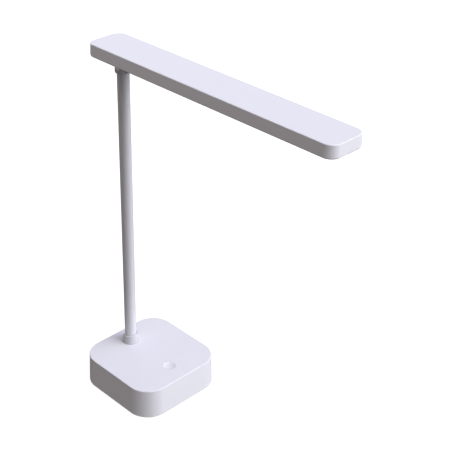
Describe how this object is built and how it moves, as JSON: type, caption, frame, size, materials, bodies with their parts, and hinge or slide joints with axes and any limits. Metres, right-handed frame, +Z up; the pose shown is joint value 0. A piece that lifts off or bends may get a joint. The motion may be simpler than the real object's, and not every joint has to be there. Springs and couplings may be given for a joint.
{
  "type": "folding led desk lamp",
  "caption": "Folding desk lamp: weighted rounded-square base with a dished push button, round pole that turns and folds in a collar, and a long flat LED bar that tilts on it.",
  "frame": {"origin": "middle of the underside of the rubber pad that the lamp stands on", "axes": "+X the way the light bar reaches, +Y to the light bar's left, +Z up; the pole's axis is in the XZ plane"},
  "size_m": [0.2936, 0.105, 0.3639],
  "materials": {
    "white_casing": "satin moulded ABS",
    "white_coated_metal": "satin white powder coat on die-cast metal",
    "white_coated_tube": "satin white coating on drawn tube",
    "plate_plastic": "matte moulded ABS",
    "pad_rubber": "matte silicone rubber",
    "ballast_steel": "oiled cut plate",
    "zinc_steel": "zinc-plated",
    "nickel": "nickel-plated",
    "black_plastic": "matte moulded",
    "cell_wrap": "shrink sleeve",
    "board_laminate": "solder mask on laminate",
    "component_resin": "moulded resin",
    "lead_insulation": "smooth insulation",
    "acetal": "turned acetal",
    "opal_panel": "opal, fine matte face",
    "led_board_white": "white solder mask on aluminium",
    "led_phosphor": "clear resin over phosphor"
  },
  "bodies": {
    "base": {"base_cover": "white_casing", "base_plate": "plate_plastic", "rubber_pad": "pad_rubber", "plate_screws": "zinc_steel", "ballast_plate": "ballast_steel", "ballast_screws": "zinc_steel", "battery_cradle": "black_plastic", "battery_cell_front": "cell_wrap", "battery_cell_rear": "cell_wrap", "battery_tabs": "nickel", "battery_leads": "lead_insulation", "main_board": "board_laminate", "main_board_parts": "component_resin", "board_screws": "zinc_steel", "tact_switch": "component_resin", "charge_board": "board_laminate", "charge_board_parts": "component_resin", "charge_screws": "zinc_steel", "usb_socket": "nickel", "link_leads": "lead_insulation", "swivel_bush": "acetal"},
    "turret": {"swivel_turret": "white_coated_metal", "thrust_washer": "zinc_steel", "spring_washer": "zinc_steel", "stop_disc": "zinc_steel", "swivel_nut": "zinc_steel", "fold_pin": "zinc_steel", "fold_washers": "zinc_steel"},
    "pole": {"pole_foot": "white_coated_metal", "pole_tube": "white_coated_tube", "pole_cap": "white_coated_metal", "pole_leads": "lead_insulation", "foot_dowel": "zinc_steel", "cap_dowel": "zinc_steel", "tilt_pin": "zinc_steel", "tilt_nut": "zinc_steel", "tilt_washers": "zinc_steel"},
    "head": {"head_shell": "white_casing", "light_panel": "opal_panel", "hinge_cover": "white_casing", "head_bracket": "white_coated_metal", "bracket_screws": "zinc_steel", "cover_screws": "zinc_steel", "led_board": "led_board_white", "led_rows": "led_phosphor", "led_board_screws": "zinc_steel", "head_leads": "lead_insulation"},
    "button": {"button_cap": "white_casing", "switch_plunger": "component_resin"}
  },
  "joints": [
    {"name": "pole_swivel", "type": "hinge", "parent": "base", "child": "turret", "pos_m": [-0.0312, 0, 0.033], "axis": [0, 0, 1], "range_deg": [-145, 180]},
    {"name": "pole_fold", "type": "hinge", "parent": "turret", "child": "pole", "pos_m": [-0.0312, 0, 0.0394], "axis": [0, -1, 0], "range_deg": [0, 90]},
    {"name": "head_tilt", "type": "hinge", "parent": "pole", "child": "head", "pos_m": [-0.0312, 0, 0.3434], "axis": [0, 1, 0], "range_deg": [-30, 90]},
    {"name": "button_press", "type": "slide", "parent": "base", "child": "button", "axis": [0, 0, -1], "range_m": [0, 0.0005], "stiffness_N_per_m": 1200, "springref_m": -0.0004}
  ]
}
